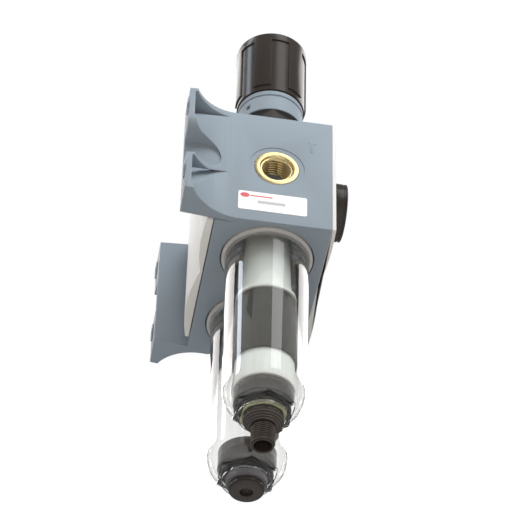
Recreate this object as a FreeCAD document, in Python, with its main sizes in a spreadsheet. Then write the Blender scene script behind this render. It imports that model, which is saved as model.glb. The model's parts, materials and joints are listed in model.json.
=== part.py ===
"""Compact filter regulator lubricator: parametric FreeCAD document, one object per physical piece.

Frame, millimetres: +Z up, +X along the air flow, +Y towards the wall. The origin is the centre of
the four wall screws, on the wall plane. Most pieces are drawn about the axis of the module they
belong to, with their own z = 0 in the plane of the housing's underside, and then placed.
"""
import FreeCAD, Part
import math
import os

import Sketcher

Vector = FreeCAD.Vector
Rotation = FreeCAD.Rotation

# ------------------------------------------------------------------ driving dimensions
DIMENSIONS = {
    # housing
    "body_height": 61.5,
    "module_length": 40.0,
    "axis_offset": 20.8,
    "front_depth": 23.4,
    "rear_depth": 24.7,
    "underside_level": -34.4,
    "axis_setback": 39.5,
    "port_height": 31.7,
    "passage_radius": 4.5,
    # end brackets
    "plate_thickness": 2.8,
    "ear_reach": 55.0,
    "ear_plate": 2.4,
    "pad_height": 0.5,
    "pad_radius": 3.9,
    "flare_radius": 21.2,
    "flare_start": 16.5,
    "flare_tip": 35.7,
    "hole_reach": 51.0,
    "upper_hole": 53.0,
    "lower_hole": 15.8,
    "wall_hole_radius": 2.25,
    "notch_radius": 7.5,
    "notch_centre": 31.0,
    "notch_floor": 43.2,
    "notch_height": 32.0,
    "tab_thickness": 2.0,
    "tab_length": 6.0,
    "screw_radius": 1.5,
    "screw_head_radius": 2.8,
    # ports
    "insert_radius": 9.45,
    "insert_length": 10.5,
    "thread_core": 5.72,
    "thread_mouth": 6.6,
    # covers
    "front_cover_end": 25.0,
    "front_cusp": 23.9,
    "front_cover_bend": 180.0,
    "rear_cover_seat": 25.1,
    "rear_cover_end": 27.6,
    "rear_cusp": 26.0,
    "rear_cover_bend": 83.0,
    "cusp_station": 8.2,
    "cover_far_end": 33.0,
    # pressure gauge
    "gauge_radius": 12.3,
    "gauge_face": 32.0,
    "gauge_pocket": 16.4,
    # bowls
    "bowl_socket": 17.5,
    "flange_recess": 19.56,
    "flange_radius": 18.9,
    "bowl_neck": 17.2,
    "bowl_top_radius": 17.4,
    "bowl_low_radius": 16.6,
    "bowl_wall": 1.9,
    "dome_level": 71.0,
    "dome_depth": 13.5,
    "seal_section": 0.9,
    # bonnet and knob
    "bonnet_thread": 13.2,
    "bonnet_hex": 12.0,
    "collar_radius": 14.0,
    "collar_bottom": 75.7,
    "collar_top": 83.8,
    "lip_radius": 13.7,
    "bonnet_top": 102.0,
    "spring_chamber": 9.6,
    "knob_radius": 15.5,
    "knob_panel_radius": 14.8,
    "knob_bore": 14.0,
    "knob_bottom": 87.2,
    "knob_top": 123.0,
    "knob_rim": 4.2,
    "screw_shank": 3.0,
    # valve
    "piston_radius": 11.9,
    "valve_bore": 6.5,
    "valve_seat": 38.0,
    # filter inside
    "deflector_radius": 11.25,
    "element_radius": 13.1,
    "element_top": -27.4,
    "element_bottom": -58.7,
    "baffle_bottom": -71.8,
    # drains
    "boss_flats": 11.2,
    "boss_bottom": -82.3,
    "skirt_radius": 10.3,
    "skirt_depth": 2.2,
    "nut_flats": 8.5,
    "drain_radius": 8.15,
    "drain_bottom": -84.4,
    "stem_radius": 4.87,
    "stem_bottom": -98.6,
    "ring_bottom": -89.5,
    "collar_bottom_level": -86.0,
    "collar_outer": 8.4,
    "plug_radius": 7.3,
    "plug_bottom": -89.4,
    # lubricator top
    "sight_radius": 8.2,
    "fill_offset": 16.4,
    "fill_radius": 5.2,
}

doc = FreeCAD.newDocument("FilterRegulatorLubricator")
sheet = doc.addObject("Spreadsheet::Sheet", "Sizes")
for row, (alias, size) in enumerate(DIMENSIONS.items(), start=1):
    sheet.set("A%d" % row, alias)
    sheet.set("B%d" % row, "%g" % size)
    sheet.setAlias("B%d" % row, alias)
doc.recompute()


# ------------------------------------------------------------------ sizes that stay bound to the sheet
class Size:
    """A length that carries its value and the sheet expression that gives it."""

    def __init__(self, value, text):
        self.value = float(value)
        self.text = text

    def __add__(self, other):
        return Size(self.value + number(other), "(%s + %s)" % (self.text, written(other)))

    def __sub__(self, other):
        return Size(self.value - number(other), "(%s - %s)" % (self.text, written(other)))

    def __mul__(self, other):
        return Size(self.value * number(other), "(%s * %s)" % (self.text, written(other)))

    def __rsub__(self, other):
        return Size(number(other) - self.value, "(%s - %s)" % (written(other), self.text))

    def __neg__(self):
        return Size(-self.value, "(0 - %s)" % self.text)

    __radd__ = __add__
    __rmul__ = __mul__


def number(size):
    return size.value if isinstance(size, Size) else float(size)


def written(size):
    return size.text if isinstance(size, Size) else "(%.6f)" % size


class SheetSizes:
    """Attribute access to the sheet's aliases: d.body_height is a Size."""

    def __getattr__(self, alias):
        return Size(DIMENSIONS[alias], "Sizes." + alias)


d = SheetSizes()


def bind(thing, path, size):
    """Tie one property of a document object to the sheet."""
    if isinstance(size, Size):
        thing.setExpression(path, size.text)


# ------------------------------------------------------------------ bodies, sketches and features
PIECES = []
FACING = {
    "up": Rotation(),
    "front": Rotation(Vector(1, 0, 0), 90),
    "inlet": Rotation(Vector(0, 1, 0), -90),
    "outlet": Rotation(Vector(0, 1, 0), 90),
}
REGULATOR = -d.axis_offset
LUBRICATOR = d.axis_offset
MIDDLE = 0.0


def place(thing, x, height=0.0, facing="up", yaw=0.0, forward=0.0):
    """Put a piece at a station along the flow, a height above the underside, on the bowl plane."""
    base_x = x
    base_y = -d.axis_setback + forward
    base_z = d.underside_level + height
    turn = Rotation(Vector(0, 0, 1), yaw).multiply(FACING[facing])
    thing.Placement = FreeCAD.Placement(
        Vector(number(base_x), number(base_y), number(base_z)), turn)
    bind(thing, "Placement.Base.x", base_x)
    bind(thing, "Placement.Base.y", base_y)
    bind(thing, "Placement.Base.z", base_z)


def new_body(label, x, **where):
    body = doc.addObject("PartDesign::Body", label)
    body.Label = label
    place(body, x, **where)
    PIECES.append(body)
    return body


def origin_plane(body, role):
    for feature in body.Origin.OriginFeatures:
        if feature.Role == role + "_Plane":
            return feature
    raise RuntimeError("no plane " + role)


def new_sketch(body, plane, level):
    sketch = body.newObject("Sketcher::SketchObject", body.Name + "_sketch")
    sketch.AttachmentSupport = [(origin_plane(body, plane), "")]
    sketch.MapMode = "FlatFace"
    sketch.AttachmentOffset = FreeCAD.Placement(Vector(0, 0, number(level)), Rotation())
    bind(sketch, "AttachmentOffset.Base.z", level)
    return sketch


def fix_point(sketch, geometry, end, x, y):
    for kind, size in (("DistanceX", x), ("DistanceY", y)):
        index = sketch.addConstraint(Sketcher.Constraint(kind, geometry, end, number(size)))
        bind(sketch, "Constraints[%d]" % index, size)


def draw_circle(sketch, x, y, radius):
    circle = Part.Circle(Vector(number(x), number(y), 0), Vector(0, 0, 1), number(radius))
    geometry = sketch.addGeometry(circle, False)
    fix_point(sketch, geometry, 3, x, y)
    index = sketch.addConstraint(Sketcher.Constraint("Radius", geometry, number(radius)))
    bind(sketch, "Constraints[%d]" % index, radius)


def arc_through(start, end, radius):
    """Arc of a signed radius from start to end: positive runs counter-clockwise."""
    middle = (start + end) * 0.5
    chord = end - start
    rise = math.sqrt(max(radius * radius - chord.Length ** 2 / 4.0, 0.0))
    normal = Vector(-chord.y, chord.x, 0).normalize()
    centre = middle + normal * math.copysign(rise, radius)
    first, last = (start, end) if radius > 0 else (end, start)
    circle = Part.Circle(centre, Vector(0, 0, 1), abs(radius))
    return Part.ArcOfCircle(circle, circle.parameter(first), circle.parameter(last))


def draw_outline(sketch, points):
    """Closed outline. A point is (x, y), or (x, y, radius) when an arc of that radius leads to it."""
    ends = []
    for index, point in enumerate(points):
        before = points[index - 1]
        start = Vector(number(before[0]), number(before[1]), 0)
        end = Vector(number(point[0]), number(point[1]), 0)
        if len(point) == 2:
            geometry = sketch.addGeometry(Part.LineSegment(start, end), False)
            ends.append((geometry, 1, 2))
            continue
        radius = point[2]
        geometry = sketch.addGeometry(arc_through(start, end, number(radius)), False)
        ends.append((geometry, 1, 2) if number(radius) > 0 else (geometry, 2, 1))
        size = radius if number(radius) > 0 else -radius
        mark = sketch.addConstraint(Sketcher.Constraint("Radius", geometry, abs(number(radius))))
        bind(sketch, "Constraints[%d]" % mark, size)
    for index, (geometry, _, last) in enumerate(ends):
        following, first, _ = ends[(index + 1) % len(ends)]
        sketch.addConstraint(Sketcher.Constraint("Coincident", geometry, last, following, first))
        fix_point(sketch, geometry, last, points[index][0], points[index][1])


def draw(sketch, shapes):
    """Each shape is an outline (a list of points) or a circle (a tuple x, y, radius)."""
    for shape in shapes:
        if isinstance(shape, list):
            draw_outline(sketch, shape)
        else:
            draw_circle(sketch, *shape)


def volume_of(body):
    doc.recompute()
    return body.Shape.Volume if body.Tip is not None else 0.0


def extrude(body, kind, plane, low, high, shapes):
    """Pad or pocket between two levels along the plane's axis (X for YZ, Y for XZ, Z for XY)."""
    level = -high if plane == "XZ" else low
    length = high - low
    sketch = new_sketch(body, plane, level)
    draw(sketch, shapes)
    before = volume_of(body)
    feature = body.newObject("PartDesign::" + kind, "%s_%s" % (body.Name, kind.lower()))
    feature.Profile = sketch
    feature.Length = number(length)
    bind(feature, "Length", length)
    feature.Reversed = kind == "Pocket"
    after = volume_of(body)
    if abs(after - before) < 1e-3:
        raise RuntimeError("%s: %s changes nothing" % (body.Label, feature.Name))
    return feature


def add(body, plane, low, high, *shapes):
    return extrude(body, "Pad", plane, low, high, shapes)


def cut(body, plane, low, high, *shapes):
    return extrude(body, "Pocket", plane, low, high, shapes)


def revolve(body, *outlines):
    """Solid of revolution about the body's own Z axis, from outlines or circles in (radius, z)."""
    sketch = new_sketch(body, "XZ", 0.0)
    draw(sketch, outlines)
    feature = body.newObject("PartDesign::Revolution", body.Name + "_revolution")
    feature.Profile = sketch
    feature.ReferenceAxis = (sketch, ["V_Axis"])
    feature.Angle = 360
    doc.recompute()


def turned(label, x, outline, **where):
    body = new_body(label, x, **where)
    revolve(body, outline)
    return body


def ring(inner, outer, low, high):
    """Outline of a plain ring or tube; inner may be 0 for a disc."""
    return [(inner, low), (outer, low), (outer, high), (inner, high)]


def seal(label, x, radius, level, section=None, **where):
    """O-ring: a round section revolved about the axis."""
    body = new_body(label, x, **where)
    revolve(body, (radius, level, d.seal_section if section is None else section))


def hexagon(half_flats, phase):
    """Outline of a hexagon, its first corner at an angle phase in degrees."""
    corner = half_flats * (1.0 / math.cos(math.radians(30)))
    return [(corner * math.cos(math.radians(phase + 60 * step)),
             corner * math.sin(math.radians(phase + 60 * step))) for step in range(6)]


def rectangle(left, right, low, high):
    return [(left, low), (right, low), (right, high), (left, high)]


def pattern(body, feature, count):
    """Repeat one feature evenly around the body's Z axis."""
    polar = body.newObject("PartDesign::PolarPattern", body.Name + "_pattern")
    polar.Originals = [feature]
    polar.Axis = (feature.Profile[0], ["N_Axis"])
    polar.Angle = 360
    polar.Occurrences = count
    body.Tip = polar
    doc.recompute()


# ------------------------------------------------------------------ housing
TAB_BANDS = ((8.0, 18.0), (43.0, 53.0))
SOCKET_CEILING = 14.5
RECESS_DEPTH = 6.0
SIPHON_OFFSET = -9.5
SCREW_DEPTH = 8.0


def module_block(label, x, side):
    """Moulded module: side is -1 for the inlet module and +1 for the outlet module."""
    body = new_body(label, x)
    end = side * (d.module_length - d.axis_offset)
    middle = -side * d.axis_offset
    left, right = (end, middle) if side < 0 else (middle, end)
    add(body, "XY", 0.0, d.body_height, rectangle(left, right, -d.front_depth, d.rear_depth))
    cut(body, "XY", 0.0, RECESS_DEPTH, (0.0, 0.0, d.flange_recess))
    cut(body, "XY", RECESS_DEPTH, SOCKET_CEILING, (0.0, 0.0, d.bowl_socket))
    bore_floor = side * (d.module_length + d.plate_thickness - d.insert_length - d.axis_offset)
    low, high = (end, bore_floor) if side < 0 else (bore_floor, end)
    cut(body, "YZ", low, high, (0.0, d.port_height, d.insert_radius))
    tab_root = end - side * d.tab_length
    tab_left, tab_right = (end, tab_root) if side < 0 else (tab_root, end)
    tabs = [rectangle(tab_left, tab_right, low, high) for low, high in TAB_BANDS]
    cut(body, "XZ", -d.front_depth, d.tab_thickness - d.front_depth, *tabs)
    cut(body, "XZ", d.rear_depth - d.tab_thickness, d.rear_depth, *tabs)
    holes = [(end - side * 3.0, (low + high) / 2.0, d.screw_radius) for low, high in TAB_BANDS]
    front_floor = d.tab_thickness - d.front_depth
    rear_floor = d.rear_depth - d.tab_thickness
    cut(body, "XZ", front_floor, front_floor + SCREW_DEPTH, *holes)
    cut(body, "XZ", rear_floor - SCREW_DEPTH, rear_floor, *holes)
    return body


def regulator_body():
    body = module_block("regulator_body", REGULATOR, -1)
    cut(body, "XY", SOCKET_CEILING, d.valve_seat, (0.0, 0.0, d.valve_bore))
    cut(body, "XY", d.valve_seat, 42.5, (0.0, 0.0, 3.0))
    cut(body, "XY", 42.5, 50.5, (0.0, 0.0, 12.0))
    cut(body, "XY", 50.5, d.body_height, (0.0, 0.0, d.bonnet_thread))
    # pocket, socket and sensing hole of the gauge
    gauge = (0.0, d.port_height)
    cut(body, "XZ", -d.front_depth, -d.gauge_pocket, gauge + (d.gauge_radius + 0.2,))
    cut(body, "XZ", -d.gauge_pocket, -10.4, gauge + (4.85,))
    cut(body, "XZ", -10.4, -6.2, gauge + (1.5,))
    # inlet passage down to the filter bowl, and the way on from the piston chamber
    bore_floor = d.axis_offset - d.module_length - d.plate_thickness + d.insert_length
    cut(body, "YZ", bore_floor, -8.2, (0.0, d.port_height, d.passage_radius))
    cut(body, "XY", SOCKET_CEILING, d.port_height, (-9.6, 0.0, 2.2))
    cut(body, "YZ", 8.2, d.axis_offset, (0.0, d.port_height, d.passage_radius))
    cut(body, "XY", d.port_height, 42.5, (9.7, 0.0, 2.2))
    # groove of the seal between the two modules
    cut(body, "YZ", d.axis_offset - 1.6, d.axis_offset,
        (0.0, d.port_height, 7.15), (0.0, d.port_height, 5.3))


def lubricator_body():
    body = module_block("lubricator_body", LUBRICATOR, 1)
    bore_floor = d.module_length + d.plate_thickness - d.insert_length - d.axis_offset
    cut(body, "YZ", -d.axis_offset, bore_floor, (0.0, d.port_height, d.passage_radius))
    cut(body, "XY", 52.0, d.body_height, (0.0, 0.0, d.sight_radius))
    cut(body, "XY", d.port_height, 52.0, (0.0, 0.0, 1.6))
    cut(body, "XY", SOCKET_CEILING, 52.0, (0.0, SIPHON_OFFSET, 2.0))
    cut(body, "XY", SOCKET_CEILING, 53.0, (0.0, -d.fill_offset, 4.0))
    cut(body, "XY", 53.0, d.body_height, (0.0, -d.fill_offset, d.fill_radius))


def end_bracket(label, side):
    """End plate with a flared wall ear; side is -1 at the inlet and +1 at the outlet."""
    body = new_body(label, MIDDLE)
    inner = side * d.module_length
    face = inner + side * d.plate_thickness
    tip = side * d.ear_reach
    beyond = tip + side * 4.0
    rear = d.axis_setback - d.pad_height
    plan = [(inner, -d.front_depth), (face, -d.front_depth), (face, d.flare_start),
            (tip, d.flare_tip, -side * d.flare_radius), (tip, rear), (inner, rear)]
    add(body, "XY", 0.0, d.body_height, plan)
    left, right = sorted((inner, beyond), key=number)
    # the ear's top falls and its underside rises towards the wall
    over = d.axis_setback + 1.0
    cut(body, "YZ", left, right,
        [(d.flare_start, d.body_height), (over, d.body_height - 1.6),
         (over, d.body_height + 1.0), (d.flare_start, d.body_height + 1.0)])
    cut(body, "YZ", left, right,
        [(d.flare_start, -1.0), (over, -1.0), (over, 2.4), (d.flare_start, 0.0)])
    # round-ended notch between the two screw lugs, sunk from the end and open to the wall
    lip = 2.4
    notch_low = d.notch_height - d.notch_radius
    notch_high = d.notch_height + d.notch_radius
    floor = side * d.notch_floor
    low, high = sorted((floor, beyond), key=number)
    cut(body, "YZ", low, high,
        [(over, notch_low - lip), (rear - lip, notch_low - lip), (d.notch_centre, notch_low),
         (d.notch_centre - d.notch_radius, d.notch_height, -d.notch_radius),
         (d.notch_centre, notch_high, -d.notch_radius), (over, notch_high)])
    # rounded lower corner of the upper lug
    lug_round = 4.0
    corner = tip - side * lug_round
    cut(body, "XZ", d.notch_centre, over,
        [(corner, notch_high), (tip, notch_high + lug_round, side * lug_round),
         (beyond, notch_high + lug_round), (beyond, notch_high - 1.0), (corner, notch_high - 1.0)])
    # three-cornered screw pockets, open to the end
    plate = rear - d.ear_plate
    shoulder = face + side * 0.3
    cut(body, "XZ", d.flare_start, plate,
        [(shoulder, d.upper_hole + 5.2), (tip, d.upper_hole - 10.3), (beyond, d.upper_hole - 10.3),
         (beyond, d.upper_hole + 5.6)])
    cut(body, "XZ", d.flare_start, plate,
        [(shoulder, d.lower_hole + 9.6), (tip, d.lower_hole - 11.6, side * 50.0),
         (beyond, d.lower_hole - 11.6), (beyond, d.lower_hole + 5.0),
         (tip, d.lower_hole + 5.0), (face + side * 3.8, d.lower_hole + 6.2)])
    holes = [(side * d.hole_reach, height) for height in (d.upper_hole, d.lower_hole)]
    add(body, "XZ", rear, d.axis_setback, *[hole + (d.pad_radius,) for hole in holes])
    cut(body, "XZ", plate - 1.0, over, *[hole + (d.wall_hole_radius,) for hole in holes])
    # tabs under the covers, with countersunk screw holes
    root = inner - side * d.tab_length
    tab_left, tab_right = sorted((root, inner), key=number)
    tabs = [rectangle(tab_left, tab_right, low, high) for low, high in TAB_BANDS]
    screws = [(inner - side * 3.0, (low + high) / 2.0) for low, high in TAB_BANDS]
    front = -d.front_depth
    back = d.rear_depth
    add(body, "XZ", front, front + d.tab_thickness, *tabs)
    add(body, "XZ", back - d.tab_thickness, back, *tabs)
    for low, high in ((front, front + d.tab_thickness), (back - d.tab_thickness, back)):
        cut(body, "XZ", low, high, *[screw + (d.screw_radius,) for screw in screws])
    cut(body, "XZ", front, front + 1.2, *[screw + (d.screw_head_radius,) for screw in screws])
    cut(body, "XZ", back - 1.2, back, *[screw + (d.screw_head_radius,) for screw in screws])
    # hole for the port insert and the shallow step around it
    port = (0.0, d.port_height)
    step_low, step_high = sorted((face - side * 0.3, face), key=number)
    wall_low, wall_high = sorted((inner, face), key=number)
    cut(body, "YZ", wall_low, wall_high, port + (d.insert_radius,))
    cut(body, "YZ", step_low, step_high, port + (d.insert_radius + 2.3,))


def front_cover():
    body = new_body("front_cover", MIDDLE)
    end = -(d.module_length + d.plate_thickness)
    add(body, "XY", 0.0, d.body_height,
        [(end, -d.front_depth), (end, -d.front_cover_end),
         (-d.cusp_station, -d.front_cusp, d.front_cover_bend),
         (-end, -d.front_cover_end, d.front_cover_bend),
         (-end, -d.front_depth)])
    cut(body, "XZ", -d.front_depth - 3.5, -d.front_depth,
        (-d.axis_offset, d.port_height, d.gauge_radius + 0.2))


def rear_cover():
    body = new_body("rear_cover", MIDDLE)
    end = 0.3 - d.module_length
    add(body, "XY", 0.0, d.body_height,
        [(end, d.rear_cover_seat), (d.cover_far_end, d.rear_cover_seat),
         (d.cover_far_end, d.rear_cover_end - 1.0),
         (-d.cusp_station, d.rear_cusp, d.rear_cover_bend),
         (end, d.rear_cover_end, d.rear_cover_bend)])
    # spacer ribs that stand the cover off the modules
    for station in (-30.0, 0.0, 28.0):
        add(body, "XY", 4.0, d.body_height - 4.0,
            rectangle(station - 1.0, station + 1.0, d.rear_depth, d.rear_cover_seat))


def port_insert(label, side):
    """Threaded brass insert, its own z = 0 in the end face and +Z out of the port."""
    facing = "inlet" if side < 0 else "outlet"
    face = side * (d.module_length + d.plate_thickness)
    mouth_depth = 0.9
    turned(label, face,
           [(d.thread_core, -d.insert_length), (d.insert_radius, -d.insert_length),
            (d.insert_radius, 0.0), (d.thread_mouth, 0.0), (d.thread_core, -mouth_depth)],
           height=d.port_height, facing=facing)


def bracket_screws():
    """Eight countersunk screws that hold the bracket tabs to the modules, as separate solids."""
    screws = []
    head_length = 1.2
    shank_length = d.tab_thickness - head_length + SCREW_DEPTH - 0.5
    reach = d.module_length - 3.0
    for side in (-1, 1):
        for low, high in TAB_BANDS:
            for facing in (-1, 1):
                name = "bracket_screw_%d" % (len(screws) + 1)
                depth = d.front_depth if facing < 0 else d.rear_depth
                head = doc.addObject("Part::Cone", name + "_head")
                head.Radius1 = DIMENSIONS["screw_head_radius"]
                head.Radius2 = DIMENSIONS["screw_radius"]
                head.Height = head_length
                shank = doc.addObject("Part::Cylinder", name + "_shank")
                shank.Height = number(shank_length)
                bind(shank, "Height", shank_length)
                bind(shank, "Radius", d.screw_radius - 0.05)
                bind(head, "Radius1", d.screw_head_radius - 0.05)
                bind(head, "Radius2", d.screw_radius - 0.05)
                shank.Placement.Base = Vector(0, 0, head_length)
                screw = doc.addObject("Part::MultiFuse", name)
                screw.Shapes = [head, shank]
                inward = Rotation(Vector(1, 0, 0), -90 if facing < 0 else 90)
                middle = (low + high) / 2.0
                x = side * reach
                y = -d.axis_setback + facing * depth
                z = d.underside_level + middle
                screw.Placement = FreeCAD.Placement(
                    Vector(number(x), number(y), number(z)), inward)
                bind(screw, "Placement.Base.x", x)
                bind(screw, "Placement.Base.y", y)
                bind(screw, "Placement.Base.z", z)
                screws.append(screw)
    group = doc.addObject("Part::Compound", "bracket_screws")
    group.Label = "bracket_screws"
    group.Links = screws
    PIECES.append(group)


def end_label():
    """Blank label on the inlet end face."""
    body = new_body("blank_label", -(d.module_length + d.plate_thickness))
    add(body, "YZ", -0.15, 0.0, rectangle(-12.8, 15.7, 5.6, 15.9))


# ------------------------------------------------------------------ pressure gauge
def pressure_gauge():
    """Gauge drawn about its own axis: z is the distance from the bowl plane towards the front."""
    where = {"height": d.port_height, "facing": "front"}
    outer = d.gauge_radius
    shell = outer - 0.5
    glass = shell - 0.6
    shell_root = d.gauge_face - 6.1
    shell_top = d.gauge_face - 0.6
    dial_seat = d.gauge_face - 4.5
    dial_top = dial_seat + 0.4
    back = d.gauge_pocket + 0.2
    stem = 4.85
    turned("gauge_case", REGULATOR,
           [(stem, back), (outer, back), (outer, shell_root), (shell, shell_root),
            (shell, shell_top), (glass, shell_top), (glass, dial_seat), (10.2, dial_seat),
            (10.2, 19.0), (stem, 19.0)], **where)
    turned("gauge_bezel", REGULATOR,
           [(shell, shell_root), (outer, shell_root), (outer, d.gauge_face - 0.5),
            (outer - 0.5, d.gauge_face), (10.6, d.gauge_face), (10.6, shell_top),
            (shell, shell_top)], **where)
    turned("gauge_lens", REGULATOR, ring(0.0, glass, shell_top - 1.1, shell_top), **where)
    turned("gauge_dial", REGULATOR, ring(0.8, glass, dial_seat, dial_top), **where)
    turned("gauge_socket", REGULATOR,
           [(1.0, 10.4), (stem, 10.4), (stem, 20.2), (3.0, 20.2), (3.0, 20.8), (1.0, 20.8)],
           **where)
    tube = doc.addObject("Part::Torus", "bourdon_tube")
    tube.Label = "bourdon_tube"
    tube.Radius1 = 7.4
    tube.Radius2 = 1.0
    tube.Angle3 = 270
    place(tube, REGULATOR, forward=-23.0, **where)
    PIECES.append(tube)
    hub = dial_top + 0.3
    pointer = turned("gauge_pointer", REGULATOR,
                     [(0.0, 21.3), (0.5, 21.3), (0.5, hub), (1.3, hub), (1.3, hub + 0.9),
                      (0.0, hub + 0.9)], **where)
    # the blade lies at the scale's zero, down and to the left of the arbor
    lean = math.radians(225)
    along = (math.cos(lean), math.sin(lean))
    across = (-along[1], along[0])

    def blade_point(reach, half_width):
        return (along[0] * reach + across[0] * half_width,
                along[1] * reach + across[1] * half_width)

    blade = [blade_point(-3.0, 0.6), blade_point(-3.0, -0.6), blade_point(8.6, -0.25),
             blade_point(8.6, 0.25)]
    add(pointer, "XY", hub + 0.2, hub + 0.6, blade)


# ------------------------------------------------------------------ regulator
VENT_YAW = -52.0
NECK_YAW = -4.4
KNOB_YAW = 36.8
TAB_HALF_ANGLE = math.radians(15)


def bonnet():
    hex_top = d.collar_bottom
    body = turned("bonnet", REGULATOR, [
        (d.spring_chamber, 50.5), (d.bonnet_thread, 50.5), (d.bonnet_thread, 61.5),
        (d.bonnet_hex - 0.4, 61.5), (d.bonnet_hex - 0.4, hex_top), (d.collar_radius, hex_top),
        (d.collar_radius, d.collar_top), (d.lip_radius - 0.5, d.collar_top),
        (d.lip_radius - 0.5, d.collar_top + 0.4), (d.lip_radius, d.collar_top + 0.4),
        (d.lip_radius, d.knob_bottom - 0.2), (11.0, d.knob_bottom - 0.2), (11.0, 99.0),
        (6.0, 99.0), (6.0, d.bonnet_top), (3.1, d.bonnet_top), (3.1, 97.0),
        (d.spring_chamber, 97.0)], yaw=VENT_YAW)
    wrench_flats = hexagon(d.bonnet_hex, NECK_YAW - VENT_YAW)
    add(body, "XY", 61.5, hex_top, wrench_flats, (0.0, 0.0, d.spring_chamber))
    # vent of the spring chamber, on the side of the collar
    cut(body, "YZ", -15.0, -9.0, (0.0, (d.collar_bottom + d.collar_top) * 0.5, 1.25))


def knob():
    rim_low = d.knob_top - d.knob_rim
    body = turned("adjusting_knob", REGULATOR, [
        (d.knob_bore, d.knob_bottom), (d.knob_panel_radius, d.knob_bottom),
        (d.knob_panel_radius, rim_low), (d.knob_radius, rim_low),
        (d.knob_radius, d.knob_top - 0.8), (d.knob_radius - 0.8, d.knob_top, 0.8),
        (0.0, d.knob_top), (0.0, 119.5), (4.3, 119.5), (4.3, 105.0), (7.4, 105.0),
        (7.4, 119.5), (13.2, 119.5), (13.2, 104.0), (d.knob_bore, 104.0)], yaw=KNOB_YAW)
    across = math.sin(TAB_HALF_ANGLE)
    along = math.cos(TAB_HALF_ANGLE)
    inner = d.knob_panel_radius - 0.4
    tab = add(body, "XY", d.knob_bottom + 2.6, rim_low + 0.5, [
        (inner * along, -inner * across), (d.knob_radius * along, -d.knob_radius * across),
        (d.knob_radius * along, d.knob_radius * across, d.knob_radius),
        (inner * along, inner * across)])
    pattern(body, tab, 6)


def coil_spring(label, x, radius, wire, low, high, turns):
    """Helical spring between two heights, swept as one round wire."""
    pitch = (high - low - 2 * wire) / turns
    helix = Part.makeHelix(pitch, pitch * turns, radius)
    section = Part.Wire([Part.Circle(Vector(radius, 0, 0), Vector(0, 1, 0), wire).toShape()])
    coil = Part.Wire(helix).makePipeShell([section], True, True)
    spring = doc.addObject("Part::Feature", label)
    spring.Label = label
    spring.Shape = coil
    place(spring, x, height=low + wire)
    PIECES.append(spring)


def regulator_inside():
    turned("lock_sleeve", REGULATOR, ring(11.4, 13.5, 90.0, 103.0))
    turned("adjusting_screw", REGULATOR, [
        (0.0, 74.0), (d.screw_shank - 0.5, 74.0), (d.screw_shank, 74.5),
        (d.screw_shank, 94.6), (4.6, 94.6), (4.6, 96.7), (d.screw_shank, 96.7),
        (d.screw_shank, 102.3), (4.0, 102.3), (4.0, 115.0), (3.4, 115.6), (0.0, 115.6)])
    turned("spring_seat", REGULATOR, [
        (d.screw_shank + 0.05, 84.0), (5.6, 84.0), (5.6, 90.0), (9.3, 90.0), (9.3, 92.4),
        (d.screw_shank + 0.05, 92.4)])
    coil_spring("main_spring", REGULATOR, 7.6, 0.95, 50.05, 89.95, 8)
    turned("regulating_piston", REGULATOR, [
        (0.0, 45.0), (d.piston_radius, 45.0), (d.piston_radius, 46.4), (10.4, 46.4),
        (10.4, 48.4), (d.piston_radius, 48.4), (d.piston_radius, 50.0), (5.8, 50.0),
        (5.4, 54.0), (0.0, 54.0)])
    seal("piston_seal", REGULATOR, 11.16, 47.4, 0.74)
    turned("valve_poppet", REGULATOR, [
        (0.0, 34.0), (5.4, 34.0), (5.4, 37.2), (1.4, 37.2), (1.4, 45.0), (0.0, 45.0)])
    turned("valve_disc", REGULATOR, ring(1.4, 4.6, 37.2, 37.9))
    coil_spring("valve_spring", REGULATOR, 3.6, 0.4, 22.05, 33.95, 6)
    turned("valve_guide", REGULATOR, ring(2.4, d.valve_bore, 18.0, 22.0))


# ------------------------------------------------------------------ bowls
BOSS_YAW = 1.0
LEVER_YAW = -52.0
FLOOR_DEPTH = 8.6


def polar(radius, angle):
    """Point at an angle in degrees, at a radius that may be bound to the sheet."""
    return (radius * math.cos(math.radians(angle)), radius * math.sin(math.radians(angle)))


def bowl(label, x, hole_radius):
    """Clear bowl: neck, flange in the housing's recess, drafted wall, dome, hexagon boss, skirt."""
    neck_inner = 14.6
    inner_top = d.bowl_top_radius - d.bowl_wall
    inner_low = d.bowl_low_radius - d.bowl_wall
    equator = -d.dome_level
    # the corner arcs share a centre on the equator, so they run on from the wall's side
    centre = d.bowl_low_radius - d.dome_depth
    inner_arc = d.dome_depth - d.bowl_wall
    floor = equator - FLOOR_DEPTH
    boss_rise = math.sqrt(number(d.dome_depth) ** 2 - number(d.boss_flats - centre) ** 2)
    floor_reach = math.sqrt(number(inner_arc) ** 2 - FLOOR_DEPTH ** 2)
    body = new_body(label, x)
    revolve(body, [
        (neck_inner, 13.0), (neck_inner, 3.5), (inner_top, 1.5), (inner_low, equator),
        (centre + floor_reach, floor, -inner_arc), (hole_radius, floor), (hole_radius, d.boss_bottom),
        (d.boss_flats, d.boss_bottom), (d.boss_flats, equator - boss_rise),
        (d.bowl_low_radius, equator, d.dome_depth), (d.bowl_top_radius, -1.6),
        (d.flange_radius - 1.2, -0.6), (d.flange_radius, -0.6), (d.flange_radius, 5.6),
        (d.bowl_neck, 5.6), (d.bowl_neck, 9.6), (15.7, 9.6), (15.7, 12.0),
        (d.bowl_neck, 12.0), (d.bowl_neck, 13.0)])
    add(body, "XY", d.boss_bottom, floor - 0.3, hexagon(d.boss_flats, BOSS_YAW),
        (0.0, 0.0, hole_radius))
    # thin skirt around the fitting in the boss
    add(body, "XY", d.boss_bottom - d.skirt_depth, d.boss_bottom, (0.0, 0.0, d.skirt_radius),
        (0.0, 0.0, d.skirt_radius - 0.4))
    return body


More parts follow.
